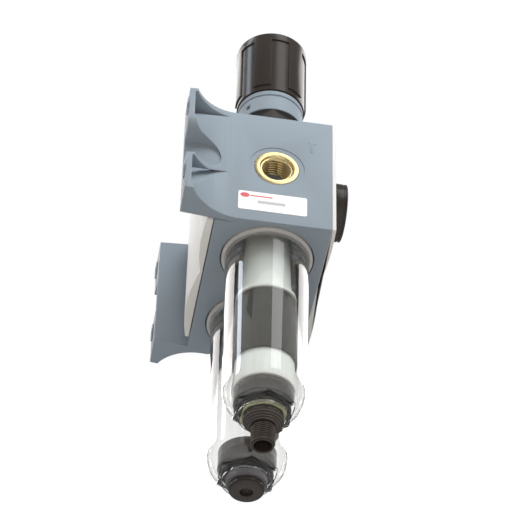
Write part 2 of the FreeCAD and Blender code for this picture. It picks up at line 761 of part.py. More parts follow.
def filter_side():
    bowl("filter_bowl", REGULATOR, d.drain_radius)
    seal("filter_bowl_seal", REGULATOR, 16.6, 10.8, 0.85)
    turned("deflector", REGULATOR, [
        (9.8, SOCKET_CEILING), (9.8, d.element_top), (13.7, d.element_top),
        (13.7, d.element_top + 1.9), (d.deflector_radius, d.element_top + 1.9),
        (d.deflector_radius, SOCKET_CEILING)])
    turned("filter_element", REGULATOR,
           ring(6.5, d.element_radius, d.element_bottom, d.element_top))
    turned("baffle", REGULATOR, [
        (0.0, d.element_bottom), (0.0, d.element_bottom - 1.5), (10.6, d.element_bottom - 1.5),
        (10.9, d.baffle_bottom), (12.2, d.baffle_bottom), (12.0, d.element_bottom)])
    turned("element_stud", REGULATOR, [
        (0.0, d.element_bottom), (2.2, d.element_bottom), (2.2, d.element_top),
        (9.8, d.element_top), (9.8, d.element_top + 1.4), (2.2, d.element_top + 1.4),
        (2.2, 18.0), (0.0, 18.0)])


def drain():
    """Drain cock: a bushing and nut in the bowl, and a stem with a ribbed grip that turns in them."""
    floor = -(d.dome_level + FLOOR_DEPTH)
    bushing_rim = floor + 1.2
    turned("drain_gasket", REGULATOR, ring(d.drain_radius, 10.5, floor, bushing_rim))
    neck = d.stem_radius - 0.37
    bore = neck + 0.08
    turned("drain_body", REGULATOR, [
        (bore, d.drain_bottom), (d.drain_radius - 0.5, d.drain_bottom),
        (d.drain_radius, d.drain_bottom + 0.5), (d.drain_radius, bushing_rim),
        (11.6, bushing_rim), (12.0, floor + 6.6), (11.4, floor + 7.2), (3.0, floor + 7.2),
        (3.0, floor + 3.0), (bore, floor + 3.0)])
    nut = new_body("drain_nut", REGULATOR)
    add(nut, "XY", d.drain_bottom, d.boss_bottom - 0.1, hexagon(d.nut_flats, BOSS_YAW),
        (0.0, 0.0, d.drain_radius))
    turned("drain_stem", REGULATOR, [
        (3.6, d.stem_bottom), (d.stem_radius - 0.5, d.stem_bottom),
        (d.stem_radius, d.stem_bottom + 0.5), (d.stem_radius, d.ring_bottom),
        (neck, d.ring_bottom), (neck, floor + 2.6), (1.5, floor + 2.6), (1.5, floor + 1.0),
        (3.6, floor - 1.0)])
    # grip: a plain band, then ribs that step inwards to the stem
    grip_top = d.drain_bottom - 0.3
    band_bottom = grip_top - 1.4
    ribs = 4
    rib_height = (band_bottom - d.ring_bottom) * (1.0 / ribs)
    rib_step = (d.drain_radius - 5.35) * (1.0 / ribs)
    groove = 0.35
    profile = [(neck, d.ring_bottom)]
    for rib in range(ribs, 0, -1):
        level = band_bottom - rib_height * rib
        radius = d.drain_radius - rib_step * rib
        profile.append((radius, level))
        profile.append((radius + groove, level + rib_height * 0.5))
    profile += [(d.drain_radius, band_bottom), (d.drain_radius, grip_top), (neck, grip_top)]
    turned("drain_ring", REGULATOR, profile)
    lever = new_body("drain_lever", REGULATOR)
    reach = d.drain_radius + 1.35
    half_width = 14.0
    taper = 4.0
    first = LEVER_YAW - half_width
    last = LEVER_YAW + half_width
    add(lever, "XY", band_bottom, grip_top - 0.1,
        [polar(reach, first + taper), polar(reach, last - taper) + (reach,),
         polar(d.drain_radius, last), polar(d.drain_radius, first) + (-d.drain_radius,)])


def lubricator_side():
    hole = 6.2
    floor = -(d.dome_level + FLOOR_DEPTH)
    bowl("lubricator_bowl", LUBRICATOR, hole)
    seal("lubricator_bowl_seal", LUBRICATOR, 16.6, 10.8, 0.85)
    turned("plug_seat", LUBRICATOR, [
        (hole, floor), (10.4, floor), (11.6, floor + 1.2), (12.0, floor + 9.2),
        (11.4, floor + 9.8), (9.4, floor + 9.8), (9.0, floor + 4.0), (hole, floor + 3.0)])
    turned("plug_washer", LUBRICATOR,
           ring(hole, d.collar_outer, d.collar_bottom_level, d.boss_bottom))
    flange_top = d.collar_bottom_level - 0.3
    socket = 2.7
    turned("drain_plug", LUBRICATOR, [
        (0.0, d.plug_bottom + 2.0), (socket, d.plug_bottom + 2.0), (socket, d.plug_bottom),
        (d.plug_radius - 1.6, d.plug_bottom), (d.plug_radius, d.plug_bottom + 1.6, 1.6),
        (d.plug_radius, flange_top), (hole - 0.08, flange_top),
        (hole - 0.08, floor + 2.4), (hole - 0.8, floor + 3.2), (0.0, floor + 3.2)])
    filter_bottom = -59.5
    tube_bottom = filter_bottom + 4.0
    turned("siphon_tube", LUBRICATOR, ring(1.2, 2.0, tube_bottom, 40.0), forward=SIPHON_OFFSET)
    turned("siphon_filter", LUBRICATOR, [
        (0.0, filter_bottom), (3.4, filter_bottom), (3.4, tube_bottom + 5.0),
        (2.0, tube_bottom + 5.0), (2.0, tube_bottom), (0.0, tube_bottom)], forward=SIPHON_OFFSET)
    turned("check_ball", LUBRICATOR,
           [(0.0, 41.1), (1.5, 42.6, 1.5), (0.0, 44.1, 1.5)], forward=SIPHON_OFFSET)
    turned("check_seat", LUBRICATOR, ring(0.8, 2.0, 40.0, 41.0), forward=SIPHON_OFFSET)
    turned("venturi", LUBRICATOR, [
        (d.passage_radius, -8.0), (d.passage_radius, 8.0), (4.1, 8.0), (2.4, 1.5),
        (2.4, -1.5), (4.1, -8.0)], height=d.port_height, facing="outlet")
    turned("drip_tube", LUBRICATOR, ring(0.7, 1.6, 37.0, 54.0))


def lubricator_top():
    turned("sight_dome", LUBRICATOR, [
        (6.6, 52.0), (d.sight_radius, 52.0), (d.sight_radius, d.body_height),
        (9.7, d.body_height), (9.7, d.body_height + 3.2), (9.0, d.body_height + 3.2),
        (9.0, d.body_height + 12.0), (5.6, d.body_height + 15.4, 3.4),
        (3.3, d.body_height + 15.4), (3.3, d.body_height + 13.6), (5.6, d.body_height + 13.6),
        (7.2, d.body_height + 12.0, -1.6), (7.2, 64.0), (6.6, 63.0)])
    turned("sight_dome_seal", LUBRICATOR, ring(1.6, 6.6, 52.0, 53.0))
    needle = turned("feed_needle", LUBRICATOR, [
        (0.0, 56.0), (0.6, 58.0), (1.6, 60.0), (1.6, d.body_height + 12.0),
        (3.2, d.body_height + 13.0), (3.2, d.body_height + 15.8),
        (4.6, d.body_height + 15.8), (4.6, d.body_height + 18.6),
        (4.1, d.body_height + 19.1), (0.0, d.body_height + 19.1)])
    cut(needle, "XZ", -0.5, 0.5, rectangle(-5.0, 5.0, d.body_height + 17.9,
                                            d.body_height + 19.4))
    top = d.body_height
    turned("fill_plug", LUBRICATOR, [
        (0.0, 54.0), (d.fill_radius - 0.08, 54.0), (d.fill_radius - 0.08, top),
        (d.fill_radius - 0.08, top + 1.3), (6.2, top + 1.3), (6.2, top + 3.6),
        (5.6, top + 4.2), (2.6, top + 4.2), (2.6, top + 1.8), (0.0, top + 1.8)],
        forward=-d.fill_offset)
    turned("fill_plug_seal", LUBRICATOR, ring(d.fill_radius, 6.2, top, top + 1.0),
           forward=-d.fill_offset)


def build():
    regulator_body()
    lubricator_body()
    end_bracket("end_bracket_inlet", -1)
    end_bracket("end_bracket_outlet", 1)
    front_cover()
    rear_cover()
    port_insert("inlet_insert", -1)
    port_insert("outlet_insert", 1)
    bracket_screws()
    end_label()
    seal("module_seal", MIDDLE, 6.2, -0.8, 0.8, height=d.port_height, facing="outlet")
    pressure_gauge()
    bonnet()
    knob()
    regulator_inside()
    filter_side()
    drain()
    lubricator_side()
    lubricator_top()


def write_parts():
    doc.recompute()
    faults = [thing.Name for thing in doc.Objects
              if "Invalid" in thing.State or "Error" in thing.State]
    for piece in PIECES:
        shape = piece.Shape
        if shape.isNull() or not shape.isValid() or not shape.Solids:
            faults.append(piece.Label + " has a bad shape")
    if faults:
        raise RuntimeError("failed: " + ", ".join(faults))
    os.makedirs("parts", exist_ok=True)
    for piece in PIECES:
        piece.Shape.exportStep(os.path.join("parts", piece.Label + ".step"))
        print("%-24s %10.1f mm3 %d solid(s)" % (
            piece.Label, piece.Shape.Volume, len(piece.Shape.Solids)))


build()
write_parts()
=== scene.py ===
"""Looks of a compact filter regulator lubricator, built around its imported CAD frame.

Pieces are drawn in millimetres about the axis of the module they belong to, with z = 0 in the
plane of the housing's underside, and are then moved to where the frame has that axis.
"""
import json
import math

import bmesh
import bpy
from mathutils import Matrix, Vector


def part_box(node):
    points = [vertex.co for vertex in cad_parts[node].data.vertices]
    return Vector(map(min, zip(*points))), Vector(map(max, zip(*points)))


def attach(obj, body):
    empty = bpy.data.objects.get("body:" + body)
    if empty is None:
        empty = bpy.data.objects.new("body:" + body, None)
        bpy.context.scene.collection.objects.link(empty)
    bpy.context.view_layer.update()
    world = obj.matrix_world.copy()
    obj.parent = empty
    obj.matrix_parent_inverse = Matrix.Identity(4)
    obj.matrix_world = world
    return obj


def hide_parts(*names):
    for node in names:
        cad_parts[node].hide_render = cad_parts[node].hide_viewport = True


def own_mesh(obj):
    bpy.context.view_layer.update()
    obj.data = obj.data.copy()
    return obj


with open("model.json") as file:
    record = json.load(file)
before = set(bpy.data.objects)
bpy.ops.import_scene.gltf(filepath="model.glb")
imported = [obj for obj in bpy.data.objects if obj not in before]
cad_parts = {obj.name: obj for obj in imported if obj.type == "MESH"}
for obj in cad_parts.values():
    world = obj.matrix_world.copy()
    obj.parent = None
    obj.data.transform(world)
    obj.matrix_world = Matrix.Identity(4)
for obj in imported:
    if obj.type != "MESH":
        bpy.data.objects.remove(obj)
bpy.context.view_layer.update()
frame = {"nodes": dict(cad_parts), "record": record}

MM = 0.001
TURN = 2 * math.pi


# ------------------------------------------------------------------ places, from the frame
def axis_of(node):
    """The vertical axis of a round CAD node, at the level of the housing's underside."""
    low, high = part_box(node)
    return Vector(((low.x + high.x) / 2, (low.y + high.y) / 2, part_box("regulator_body")[0].z))


REGULATOR = axis_of("filter_bowl")
LUBRICATOR = axis_of("lubricator_bowl")
MIDDLE = (REGULATOR + LUBRICATOR) / 2


# ------------------------------------------------------------------ materials
def new_material(name):
    material = bpy.data.materials.new(name)
    material.use_nodes = True
    tree = material.node_tree
    return material, tree, tree.nodes["Principled BSDF"]


def add_noise(tree, scale, detail):
    """Noise in the object's own metres."""
    place = tree.nodes.new("ShaderNodeTexCoord")
    noise = tree.nodes.new("ShaderNodeTexNoise")
    noise.inputs["Scale"].default_value = scale
    noise.inputs["Detail"].default_value = detail
    tree.links.new(place.outputs["Object"], noise.inputs["Vector"])
    return noise.outputs["Fac"]


def remap(tree, value, low, high):
    """The middle of a noise's range spread from low to high."""
    span = tree.nodes.new("ShaderNodeMapRange")
    span.inputs["From Min"].default_value = 0.3
    span.inputs["From Max"].default_value = 0.7
    span.inputs["To Min"].default_value = low
    span.inputs["To Max"].default_value = high
    tree.links.new(value, span.inputs["Value"])
    return span.outputs["Result"]


def blend_colours(tree, factor, first, second):
    mix = tree.nodes.new("ShaderNodeMix")
    mix.data_type = "RGBA"
    mix.inputs["A"].default_value = (*first, 1)
    mix.inputs["B"].default_value = (*second, 1)
    tree.links.new(factor, mix.inputs["Factor"])
    return mix.outputs["Result"]


def add_bump(tree, shader, value, strength, depth_mm):
    bump = tree.nodes.new("ShaderNodeBump")
    bump.inputs["Strength"].default_value = strength
    bump.inputs["Distance"].default_value = depth_mm * MM
    tree.links.new(value, bump.inputs["Height"])
    tree.links.new(bump.outputs["Normal"], shader.inputs["Normal"])


def shade(colour, share):
    return tuple(channel * share for channel in colour)


def plastic(name, colour, roughness, grain=0.05, specular=0.5, mottle=0.02, grain_scale=5200):
    """Moulded plastic: faint flow marks in the colour, fine spark-eroded grain in the bump."""
    material, tree, shader = new_material(name)
    flow = add_noise(tree, 45, 1.0)
    tree.links.new(
        blend_colours(tree, flow, shade(colour, 1 - mottle), shade(colour, 1 + mottle)),
        shader.inputs["Base Color"])
    wear = add_noise(tree, 420, 4.0)
    tree.links.new(
        remap(tree, wear, roughness * 0.96, roughness * 1.04), shader.inputs["Roughness"])
    shader.inputs["Specular IOR Level"].default_value = specular
    add_bump(tree, shader, add_noise(tree, grain_scale, 2.0), grain, 0.05)
    return material


def metal(name, colour, roughness, metallic=1.0):
    """Machined metal: uneven tone, and tool marks in the roughness and the bump."""
    material, tree, shader = new_material(name)
    shader.inputs["Metallic"].default_value = metallic
    tone = add_noise(tree, 260, 3.0)
    tree.links.new(
        blend_colours(tree, tone, shade(colour, 0.9), shade(colour, 1.06)),
        shader.inputs["Base Color"])
    marks = add_noise(tree, 900, 3.0)
    tree.links.new(
        remap(tree, marks, roughness * 0.75, roughness * 1.3), shader.inputs["Roughness"])
    add_bump(tree, shader, marks, 0.25, 0.02)
    return material


CLEAR_TINT = (0.975, 0.98, 0.965)


def clear(name, index):
    """Clear moulded plastic: a slow ripple in the wall and a trace of haze."""
    roughness = 0.02
    material, tree, shader = new_material(name)
    shader.inputs["Transmission Weight"].default_value = 1.0
    shader.inputs["IOR"].default_value = index
    tint = add_noise(tree, 45, 2.0)
    tree.links.new(
        blend_colours(tree, tint, shade(CLEAR_TINT, 0.985), CLEAR_TINT),
        shader.inputs["Base Color"])
    haze = add_noise(tree, 300, 3.0)
    tree.links.new(
        remap(tree, haze, roughness * 0.5, roughness * 1.5), shader.inputs["Roughness"])
    add_bump(tree, shader, add_noise(tree, 110, 1.0), 0.08, 0.05)
    return material


def clear_bowl(name, level, clarity):
    """Clear coated plastic that turns milky in the thick flange, above one height."""
    material = clear(name, 1.3)
    tree = material.node_tree
    place = tree.nodes.new("ShaderNodeTexCoord")
    split = tree.nodes.new("ShaderNodeSeparateXYZ")
    fade = tree.nodes.new("ShaderNodeMapRange")
    fade.inputs["From Min"].default_value = level
    fade.inputs["From Max"].default_value = level + 0.8 * MM
    fade.inputs["To Min"].default_value = 1.0
    fade.inputs["To Max"].default_value = clarity
    tree.links.new(place.outputs["Object"], split.inputs["Vector"])
    tree.links.new(split.outputs["Z"], fade.inputs["Value"])
    shader = tree.nodes["Principled BSDF"]
    shader.inputs["Coat Weight"].default_value = 1.0
    shader.inputs["Coat IOR"].default_value = 1.6
    shader.inputs["Coat Roughness"].default_value = 0.02
    tree.links.new(fade.outputs["Result"], shader.inputs["Transmission Weight"])
    return material


def sintered(name, colour):
    """Porous filter media: round grains, with painted shade darkening the pores between them."""
    material, tree, shader = new_material(name)
    place = tree.nodes.new("ShaderNodeTexCoord")
    grains = tree.nodes.new("ShaderNodeTexVoronoi")
    grains.inputs["Scale"].default_value = 2200
    tree.links.new(place.outputs["Object"], grains.inputs["Vector"])
    depth = remap(tree, grains.outputs["Distance"], 1.0, 0.0)
    # Painted shade: the colour darkens towards the pores, where the bump is lowest.
    tree.links.new(
        blend_colours(tree, depth, shade(colour, 0.55), shade(colour, 1.1)),
        shader.inputs["Base Color"])
    shader.inputs["Roughness"].default_value = 0.62
    shader.inputs["Specular IOR Level"].default_value = 0.15
    add_bump(tree, shader, depth, 0.5, 0.12)
    return material


BODY_GREY = (0.25, 0.30, 0.345)
COVER_CREAM = (0.70, 0.70, 0.675)
KNOB_BLACK = (0.034, 0.028, 0.024)

MATERIALS = {
    "body_plastic": plastic("body_plastic", BODY_GREY, 0.55, 0.06, 0.35),
    "cover_plastic": plastic("cover_plastic", COVER_CREAM, 0.5, 0.05),
    "black_plastic": plastic("black_plastic", KNOB_BLACK, 0.24, 0.05, 0.4, 0.12),
    "clear_plastic": clear("clear_plastic", 1.585),
    "pale_plastic": plastic("pale_plastic", (0.70, 0.73, 0.70), 0.4, 0.04),
    "brass": metal("brass", (0.92, 0.74, 0.38), 0.2, metallic=0.9),
    "olive_brass": metal("olive_brass", (0.42, 0.42, 0.27), 0.34, metallic=0.8),
    "steel": metal("steel", (0.42, 0.42, 0.43), 0.42),
    "spring_steel": metal("spring_steel", (0.4, 0.4, 0.42), 0.3),
    "rubber": plastic("rubber", (0.022, 0.022, 0.022), 0.6, 0.12),
    "filter_media": sintered("filter_media", (0.03, 0.027, 0.016)),
    "label": plastic("label", (0.9, 0.9, 0.89), 0.35, 0.02, 0.5, 0.01),
    "dial": plastic("dial", (0.86, 0.86, 0.83), 0.45, 0.02, 0.5, 0.01),
    "aluminium": metal("aluminium", (0.72, 0.73, 0.74), 0.3),
    "bowl_plastic": clear_bowl("bowl_plastic", REGULATOR.z - 1.8 * MM, 0.6),
    "ring_grey": plastic("ring_grey", (0.115, 0.115, 0.118), 0.5, 0.05),
    # Lighter brown for thread and rib crests: a painted highlight.
    "crest_painted_highlight": plastic("crest_painted_highlight", (0.105, 0.088, 0.078), 0.4, 0.05),
    # Dark grey for the hex neck and the collar's underside: painted shade under the collar.
    "neck_painted_shade": plastic("neck_painted_shade", (0.07, 0.068, 0.066), 0.4, 0.05),
    "label_red": plastic("label_red", (0.62, 0.10, 0.12), 0.4, 0.02, 0.5, 0.05),
    "label_grey": plastic("label_grey", (0.46, 0.47, 0.48), 0.4, 0.02, 0.5, 0.05),
    "dial_ink": plastic("dial_ink", (0.02, 0.02, 0.022), 0.5, 0.02, 0.5, 0.05),
}


# ------------------------------------------------------------------ building blocks
RECORD = frame["record"]
SLOTS = {part["node"]: part["material_slot"] for part in RECORD["subparts"]}
BODY_OF = {node: body for body, nodes in RECORD["behaviour"]["bodies"].items() for node in nodes}
SHARP = math.radians(34)


def add_piece(mesh, name, node, replaced=(), slot=None, smooth=True):
    """Object from a bmesh; it moves with the node's body and is finished like the node's slot."""
    bmesh.ops.remove_doubles(mesh, verts=mesh.verts, dist=2e-6)
    bmesh.ops.recalc_face_normals(mesh, faces=mesh.faces)
    data = bpy.data.meshes.new(name)
    mesh.to_mesh(data)
    mesh.free()
    for face in data.polygons:
        face.use_smooth = smooth
    data.set_sharp_from_angle(angle=SHARP)
    slot = slot or SLOTS[node]
    data.materials.append(MATERIALS[slot])
    piece = bpy.data.objects.new(name, data)
    bpy.context.scene.collection.objects.link(piece)
    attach(piece, BODY_OF[node])
    if replaced:
        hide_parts(*replaced)
    return piece


def paint(piece, slot, chosen):
    """Give another material to the faces that chosen(reach, height) picks, in millimetres."""
    piece.data.materials.append(MATERIALS[slot])
    for face in piece.data.polygons:
        local = (face.center - REGULATOR) / MM
        face.material_index = int(chosen(local.xy.length, local.z))


def upright(axis):
    """Local millimetres to the frame for a piece on a vertical axis."""
    return Matrix.Translation(axis) @ Matrix.Scale(MM, 4)


def facing(origin, outward):
    """Local millimetres to the frame, with local +Z along outward and local +Y up."""
    outward = Vector(outward)
    level = Vector((0, 0, 1)).cross(outward)
    turn = Matrix((level, Vector((0, 0, 1)), outward)).transposed().to_4x4()
    return Matrix.Translation(origin) @ turn @ Matrix.Scale(MM, 4)


def rounded(points, steps=4):
    """Outline with rounded corners: a point is (x, y), or (x, y, radius) for a rounded one."""
    done = []
    for index, point in enumerate(points):
        here = Vector(point[:2])
        if len(point) == 2:
            done.append(here)
            continue
        back = Vector(points[index - 1][:2]) - here
        ahead = Vector(points[(index + 1) % len(points)][:2]) - here
        half = back.angle(ahead) / 2
        reach = min(point[2] / math.tan(half), 0.48 * back.length, 0.48 * ahead.length)
        centre = here + (back.normalized() + ahead.normalized()).normalized() * reach / math.cos(half)
        first = here + back.normalized() * reach - centre
        last = here + ahead.normalized() * reach - centre
        sweep = first.angle_signed(last)
        for step in range(steps + 1):
            turn = Matrix.Rotation(-sweep * step / steps, 2)
            done.append(centre + turn @ first)
    return done


def arc(centre, radius, first, last, steps):
    """Points on an arc between two angles in degrees."""
    return [(centre[0] + radius * math.cos(math.radians(first + (last - first) * step / steps)),
             centre[1] + radius * math.sin(math.radians(first + (last - first) * step / steps)))
            for step in range(steps + 1)]


def lathe(outline, place, steps=96, phase=0.0, radius_at=None):
    """Solid turned from a closed outline of (radius, z); radius_at(radius, z, angle) may shape it."""
    mesh = bmesh.new()
    grid = []
    for radius, z in outline:
        row = []
        for step in range(steps):
            angle = math.radians(phase) + TURN * step / steps
            reach = radius_at(radius, z, angle) if radius_at else radius
            row.append(mesh.verts.new(
                place @ Vector((reach * math.cos(angle), reach * math.sin(angle), z))))
        grid.append(row)
    for index, row in enumerate(grid):
        above = grid[index - 1]
        on_axis = outline[index][0] == 0 and outline[index - 1][0] == 0
        for step in range(steps):
            following = (step + 1) % steps
            if not on_axis:
                mesh.faces.new((above[step], above[following], row[following], row[step]))
    return mesh


def slab(points, low, high, place):
    """Flat prism from an outline, between two local levels."""
    mesh = bmesh.new()
    bottom = [mesh.verts.new(place @ Vector((x, y, low))) for x, y in points]
    top = [mesh.verts.new(place @ Vector((x, y, high))) for x, y in points]
    mesh.faces.new(bottom[::-1])
    mesh.faces.new(top)
    for index in range(len(points)):
        ahead = (index + 1) % len(points)
        mesh.faces.new((bottom[index], bottom[ahead], top[ahead], top[index]))
    return mesh


def rounded_box(left, right, low, high, radius):
    return [tuple(point) for point in rounded(
        [(left, low, radius), (right, low, radius), (right, high, radius), (left, high, radius)])]


def hexagon_reach(flats, angle, phase):
    """Radius of a hexagon at an angle; phase is the direction of one corner in degrees."""
    sector = math.radians(60)
    turn = (angle - math.radians(phase)) % sector - sector / 2
    return flats / math.cos(turn)


def helix(mean, depth, pitch, low, high):
    """radius_at function: a helical thread where the outline lies on its mean radius."""
    def radius_at(radius, z, angle):
        if abs(radius - mean) > 0.001:
            return radius
        fade = min(1.0, (z - low) / (pitch * 0.6), (high - z) / (pitch * 0.6))
        along = z / pitch - angle / TURN
        wave = 4 * abs(along - math.floor(along) - 0.5) - 1
        return radius + depth * max(0.0, fade) * max(-0.8, min(0.8, wave)) / 0.8
    return radius_at


def levels(radius, first, last, step):
    """Points up or down a straight wall, close enough together to carry a thread."""
    count = max(2, round(abs(last - first) / step))
    return [(radius, first + (last - first) * index / count) for index in range(count + 1)]


def copied(node):
    """The CAD node's mesh in the frame, with flat and near-flat faces joined."""
    source = frame["nodes"][node]
    mesh = bmesh.new()
    mesh.from_mesh(source.data)
    bmesh.ops.transform(mesh, matrix=source.matrix_world, verts=mesh.verts)
    bmesh.ops.remove_doubles(mesh, verts=mesh.verts, dist=2e-6)
    bmesh.ops.dissolve_limit(mesh, angle_limit=math.radians(0.8), verts=mesh.verts,
                             edges=mesh.edges, use_dissolve_boundaries=False)
    return mesh


def soften(node, width, segments=2, slot=None):
    """Stand-in for a CAD node with its sharp edges rounded by a width in millimetres."""
    mesh = copied(node)
    edges = [edge for edge in mesh.edges
             if edge.is_manifold and edge.calc_face_angle() > math.radians(36)]
    bmesh.ops.bevel(mesh, geom=edges, offset=width * MM, offset_type="OFFSET", segments=segments,
                    profile=0.5, affect="EDGES", clamp_overlap=True)
    return add_piece(mesh, node + "_edged", node, [node], slot)


def spring(node):
    """Coil spring copied from the CAD node into a piece with a mesh of its own."""
    piece = add_piece(copied(node), node + "_coil", node, [node])
    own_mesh(piece)


# ------------------------------------------------------------------ CAD nodes that stay as they are
def dress_frame():
    for node, thing in frame["nodes"].items():
        thing.data.materials.clear()
        thing.data.materials.append(MATERIALS[SLOTS[node]])
        for face in thing.data.polygons:
            face.use_smooth = True
        thing.data.set_sharp_from_angle(angle=math.radians(32))


# ------------------------------------------------------------------ moulded pieces
# Heights of the hex neck, which is given painted shade in dark grey.
NECK_LOW, NECK_HIGH = 61.6, 75.4


def moulded_pieces():
    """Edges rounded in millimetres; springs copied into pieces of their own."""
    for node in ("end_bracket_inlet", "end_bracket_outlet"):
        soften(node, 0.45, 3)
    for node in ("regulator_body", "lubricator_body", "front_cover", "rear_cover"):
        soften(node, 0.5, 3)
    soften("adjusting_knob", 0.35, 3)
    soften("plug_washer", 0.3, 3, "ring_grey")
    for node in ("drain_plug", "drain_lever", "deflector", "baffle", "filter_element", "fill_plug",
                 "feed_needle", "gauge_case"):
        soften(node, 0.2)
    bonnet = soften("bonnet", 0.35, 3)
    # Painted shade: the hex neck under the collar is given a dark grey.
    paint(bonnet, "neck_painted_shade", lambda reach, height: NECK_LOW < height < NECK_HIGH)
    spring("main_spring")
    spring("valve_spring")


def bonnet_collar():
    """Turned collar round the bonnet: a vent on the inlet side, a groove and a lip above it."""
    bottom, top = 75.66, 83.8
    radius = 14.03
    vent = Vector((math.radians(128) * radius, (bottom + top) / 2))
    vent_radius = 1.45
    vent_depth = 2.6

    def vent_reach(reach, z, angle):
        inside = (Vector((angle * radius, z)) - vent).length < vent_radius
        return radius - vent_depth if inside and reach == radius else reach

    outline = [(11.2, bottom), (radius - 0.3, bottom), (radius - 0.09, bottom + 0.09)]
    outline += levels(radius, bottom + 0.3, top - 0.2, 0.2)
    outline += [(radius - 0.2, top)]
    outline += [tuple(point) for point in rounded([
        (13.35, top + 0.05), (13.35, 84.35), (14.25, 84.4, 0.35), (14.25, 86.95, 0.35),
        (12.5, 86.95), (12.5, bottom + 1.0), (11.2, bottom + 1.0)])]
    mesh = lathe(outline, upright(REGULATOR), 240, 0.0, vent_reach)
    piece = add_piece(mesh, "bonnet_collar", "bonnet")
    # Painted shade: the collar's underside is given the same dark grey.
    paint(piece, "neck_painted_shade", lambda reach, height: height < bottom + 0.01)


# ------------------------------------------------------------------ ports
QUARTER_PITCH = 1.337
EIGHTH_PITCH = 0.907


def port_insert(node, side):
    """Brass insert with a G 1/4 thread and a broad bevelled rim."""
    low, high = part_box(node)
    face = high.x if side > 0 else low.x
    place = facing((face, (low.y + high.y) / 2, (low.z + high.z) / 2), (side, 0, 0))
    bore = 6.15
    depth = 0.52
    pitch = QUARTER_PITCH
    mouth = -1.0
    back = -10.4
    outline = rounded([(bore, mouth), (6.75, mouth, 0.15), (7.15, 0, 0.2), (9.4, 0, 0.3),
                       (9.4, back), (bore, back)])
    outline = outline + [Vector(point) for point in levels(bore, back, mouth, pitch / 9)][1:-1]
    mesh = lathe(outline, place, 96, 0, helix(bore, depth, pitch, back, mouth))
    add_piece(mesh, node + "_threaded", node, [node])


# ------------------------------------------------------------------ bowls
BOSS_FLATS = 11.2
BOSS_YAW = 1.0
BOSS_TOP = -79.9
BOSS_BOTTOM = -82.3
SKIRT_RADIUS = 10.3
SKIRT_BOTTOM = -84.5
DOME_LEVEL = -71.0
DOME_DEPTH = 13.5
DOME_CENTRE = (3.1, DOME_LEVEL)
BOWL_WALL = 1.9


def boss_reach(radius, z, angle):
    """The hexagon boss grows out of the dome."""
    if z > BOSS_TOP + 0.05 or radius < SKIRT_RADIUS + 0.5:
        return radius
    return max(radius, hexagon_reach(BOSS_FLATS, angle, BOSS_YAW) - (BOSS_FLATS - radius
               if z < BOSS_BOTTOM + 0.35 else 0))


def bowl(node, axis, hole):
    """Clear bowl with a stepped flange, a drafted wall, a dome and a hexagon boss."""
    floor = -79.6
    inner_radius = DOME_DEPTH - BOWL_WALL
    floor_angle = math.degrees(math.asin((DOME_LEVEL - floor) / inner_radius))
    rim_angle = math.degrees(math.acos((BOSS_FLATS - DOME_CENTRE[0]) / DOME_DEPTH))
    inside = [(14.6, 13.0), (14.6, 3.5), (15.5, 1.5)]
    inside += arc(DOME_CENTRE, inner_radius, 0, -floor_angle, 16)
    below = [(hole, floor), (hole, BOSS_BOTTOM), (SKIRT_RADIUS - 0.4, BOSS_BOTTOM),
             (SKIRT_RADIUS - 0.4, SKIRT_BOTTOM + 0.1), (SKIRT_RADIUS - 0.2, SKIRT_BOTTOM),
             (SKIRT_RADIUS, SKIRT_BOTTOM + 0.1), (SKIRT_RADIUS, BOSS_BOTTOM - 0.2),
             (SKIRT_RADIUS + 0.2, BOSS_BOTTOM), (BOSS_FLATS - 0.3, BOSS_BOTTOM),
             (BOSS_FLATS, BOSS_BOTTOM + 0.3)]
    outside = arc(DOME_CENTRE, DOME_DEPTH, -rim_angle, 0, 24)
    flange = rounded([(17.4, -1.7, 0.5), (17.8, -1.45), (17.9, -1.0, 0.1), (18.3, -0.95),
                      (18.4, -0.6, 0.1), (18.9, -0.6, 0.25), (18.9, 5.6, 0.2), (17.2, 5.6, 0.3),
                      (17.2, 9.6, 0.1), (15.7, 9.6), (15.7, 12.0), (17.2, 12.0, 0.1),
                      (17.2, 13.0, 0.4)])
    outline = inside + below + outside + [tuple(point) for point in flange]
    mesh = lathe(outline, upright(axis), 144, BOSS_YAW, boss_reach)
    piece = add_piece(mesh, node + "_moulded", node, [node])
    piece.data.materials[0] = MATERIALS["bowl_plastic"]
    piece.visible_shadow = False


# ------------------------------------------------------------------ filter drain
DRAIN_RADIUS = 8.15
STEM_ROOT = -89.5


def drain():
    """Chamfered nut and stem of the drain cock; the stem's thread is G 1/8."""
    flats = 8.5
    low, high = -84.4, -82.4

    def nut_reach(radius, z, angle):
        if radius < flats:
            return radius
        edge = min(z - low, high - z)
        return min(hexagon_reach(flats, angle, BOSS_YAW), flats + 0.5 + 1.7 * edge)

    rim = [(flats, z) for z in (low, low + 0.2, low + 0.4, low + 0.6, high - 0.6, high - 0.4,
                                high - 0.2, high)]
    mesh = lathe([(DRAIN_RADIUS, high), (DRAIN_RADIUS, low)] + rim, upright(REGULATOR), 144,
                 BOSS_YAW, nut_reach)
    add_piece(mesh, "drain_nut_chamfered", "drain_nut", ["drain_nut"])
    mean = 4.47
    depth = 0.4
    pitch = EIGHTH_PITCH
    bottom = -98.6
    outline = [(3.6, bottom + 0.2), (3.8, bottom), (4.3, bottom), (mean, bottom + 0.4)]
    outline += levels(mean, bottom + 0.5, STEM_ROOT, pitch / 9)
    outline += [(4.4, STEM_ROOT), (4.4, -77.0), (1.5, -77.0), (1.5, -78.6), (3.6, -80.6)]
    mesh = lathe(outline, upright(REGULATOR), 96, 0,
                 helix(mean, depth, pitch, bottom + 0.4, STEM_ROOT))
    piece = add_piece(mesh, "drain_stem_threaded", "drain_stem", ["drain_stem"])
    # Painted highlight: the thread crests of the stem get a lighter brown.
    paint(piece, "crest_painted_highlight",
          lambda reach, height: reach > mean + 0.12 and bottom + 0.8 < height < STEM_ROOT)


